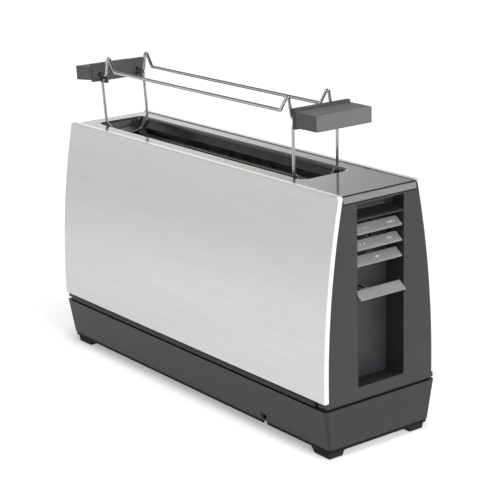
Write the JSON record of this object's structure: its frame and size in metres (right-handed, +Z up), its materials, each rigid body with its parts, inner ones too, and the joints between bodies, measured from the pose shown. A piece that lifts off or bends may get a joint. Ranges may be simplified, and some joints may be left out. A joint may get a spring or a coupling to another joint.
{
  "type": "toaster",
  "caption": "Long single-slot toaster with bowed brushed-steel sides, a tall key and lever recess in one end, a crumb tray and a lift-off bun rack on folding wire legs.",
  "frame": {"origin": "on the surface the feet stand on, under the middle of the outline, rack handles and lever included; that is 3.2 mm towards the rear end from the middle of the steel panels", "axes": "+X along the slot towards the end with the keys and lever, -Y out of the front steel panel, +Z up"},
  "size_m": [0.4136, 0.1224, 0.2868],
  "materials": {
    "brushed_steel": "fine lengthwise brushing",
    "gloss_cover": "smooth and glossy",
    "dark_plastic": "fine satin",
    "base_plastic": "fine satin",
    "key_plastic": "satin",
    "handle_plastic": "fine matte",
    "window_black": "glossy",
    "rubber": "matte",
    "bright_wire": "polished",
    "galvanised_steel": "dull zinc-coated sheet",
    "mica": "flaky matte",
    "nichrome": "oxidised ribbon",
    "copper": "varnished copper wire",
    "circuit_board": "satin lacquer",
    "pale_plastic": "matte moulding"
  },
  "bodies": {
    "housing": {"base_tray": "base_plastic", "foot_front_control": "rubber", "foot_back_control": "rubber", "foot_front_rear": "rubber", "foot_back_rear": "rubber", "base_screw_1": "galvanised_steel", "base_screw_2": "galvanised_steel", "base_screw_3": "galvanised_steel", "base_screw_4": "galvanised_steel", "lower_rail_front": "dark_plastic", "lower_rail_back": "dark_plastic", "panel_front": "brushed_steel", "panel_back": "brushed_steel", "end_cap_control": "dark_plastic", "end_cap_rear": "dark_plastic", "end_trim_control": "gloss_cover", "end_trim_rear": "gloss_cover", "top_cover": "gloss_cover", "display_window": "window_black", "key_pin": "galvanised_steel", "guide_rod": "bright_wire", "rod_bracket": "galvanised_steel", "return_spring": "bright_wire", "magnet_core": "galvanised_steel", "magnet_coil": "copper", "control_board": "circuit_board", "key_browning_switch": "pale_plastic", "key_program_switch": "pale_plastic", "key_cancel_switch": "pale_plastic", "chassis_end_control": "galvanised_steel", "chassis_end_rear": "galvanised_steel", "reflector_front": "galvanised_steel", "reflector_back": "galvanised_steel", "heater_card_front": "mica", "heater_card_back": "mica", "heater_winding_front": "nichrome", "heater_winding_back": "nichrome", "cord_gland": "rubber", "terminal_block": "pale_plastic"},
    "lever_carriage": {"lever_knob": "key_plastic", "lever_arm": "galvanised_steel", "carriage_block": "pale_plastic", "keeper_plate": "galvanised_steel", "bread_shelf": "galvanised_steel"},
    "guide_front": {"guide_grid_front": "bright_wire"},
    "guide_back": {"guide_grid_back": "bright_wire"},
    "browning_key": {"key_browning": "key_plastic"},
    "program_key": {"key_program": "key_plastic"},
    "cancel_key": {"key_cancel": "key_plastic"},
    "crumb_drawer": {"crumb_pan": "galvanised_steel", "crumb_tray_front": "base_plastic"},
    "rack": {"rack_block_control": "handle_plastic", "rack_block_rear": "handle_plastic", "rack_plate_control": "handle_plastic", "rack_plate_rear": "handle_plastic", "rack_wire_front": "bright_wire", "rack_wire_back": "bright_wire"},
    "rack_foot_control": {"rack_leg_control": "bright_wire"},
    "rack_foot_rear": {"rack_leg_rear": "bright_wire"}
  },
  "joints": [
    {"name": "lever_slide", "type": "slide", "parent": "housing", "child": "lever_carriage", "axis": [0, 0, -1], "range_m": [0, 0.07], "stiffness_N_per_m": 60, "springref_m": -0.04, "deforming": ["return_spring"]},
    {"name": "guide_front_close", "type": "slide", "parent": "housing", "child": "guide_front", "axis": [0, 1, 0], "range_m": [0, 0.006]},
    {"name": "guide_back_close", "type": "slide", "parent": "housing", "child": "guide_back", "axis": [0, -1, 0], "range_m": [0, 0.006]},
    {"name": "key_browning_rock", "type": "hinge", "parent": "housing", "child": "browning_key", "pos_m": [0.1898, 0, 0.1904], "axis": [0, 0, 1], "range_deg": [-2.5, 2.5], "stiffness_Nm_per_rad": 0.3},
    {"name": "key_program_rock", "type": "hinge", "parent": "housing", "child": "program_key", "pos_m": [0.1898, 0, 0.1772], "axis": [0, 0, 1], "range_deg": [-2.5, 2.5], "stiffness_Nm_per_rad": 0.3},
    {"name": "key_cancel_press", "type": "slide", "parent": "housing", "child": "cancel_key", "axis": [-1, 0, 0], "range_m": [0, 0.0012], "stiffness_N_per_m": 300, "springref_m": -0.002},
    {"name": "crumb_tray_slide", "type": "slide", "parent": "housing", "child": "crumb_drawer", "axis": [-1, 0, 0], "range_m": [0, 0.3]},
    {"name": "rack_lift", "type": "slide", "parent": "housing", "child": "rack", "axis": [0, 0, 1], "range_m": [0, 0.12]},
    {"name": "leg_control_fold", "type": "hinge", "parent": "rack", "child": "rack_foot_control", "pos_m": [0.1222, 0, 0.264], "axis": [0, 1, 0], "range_deg": [0, 88]},
    {"name": "leg_rear_fold", "type": "hinge", "parent": "rack", "child": "rack_foot_rear", "pos_m": [-0.1688, 0, 0.264], "axis": [0, -1, 0], "range_deg": [0, 82]}
  ],
  "couplings": [
    {"joint": "guide_front_close", "follows": "lever_slide", "ratio": 0.0857},
    {"joint": "guide_back_close", "follows": "lever_slide", "ratio": 0.0857}
  ]
}
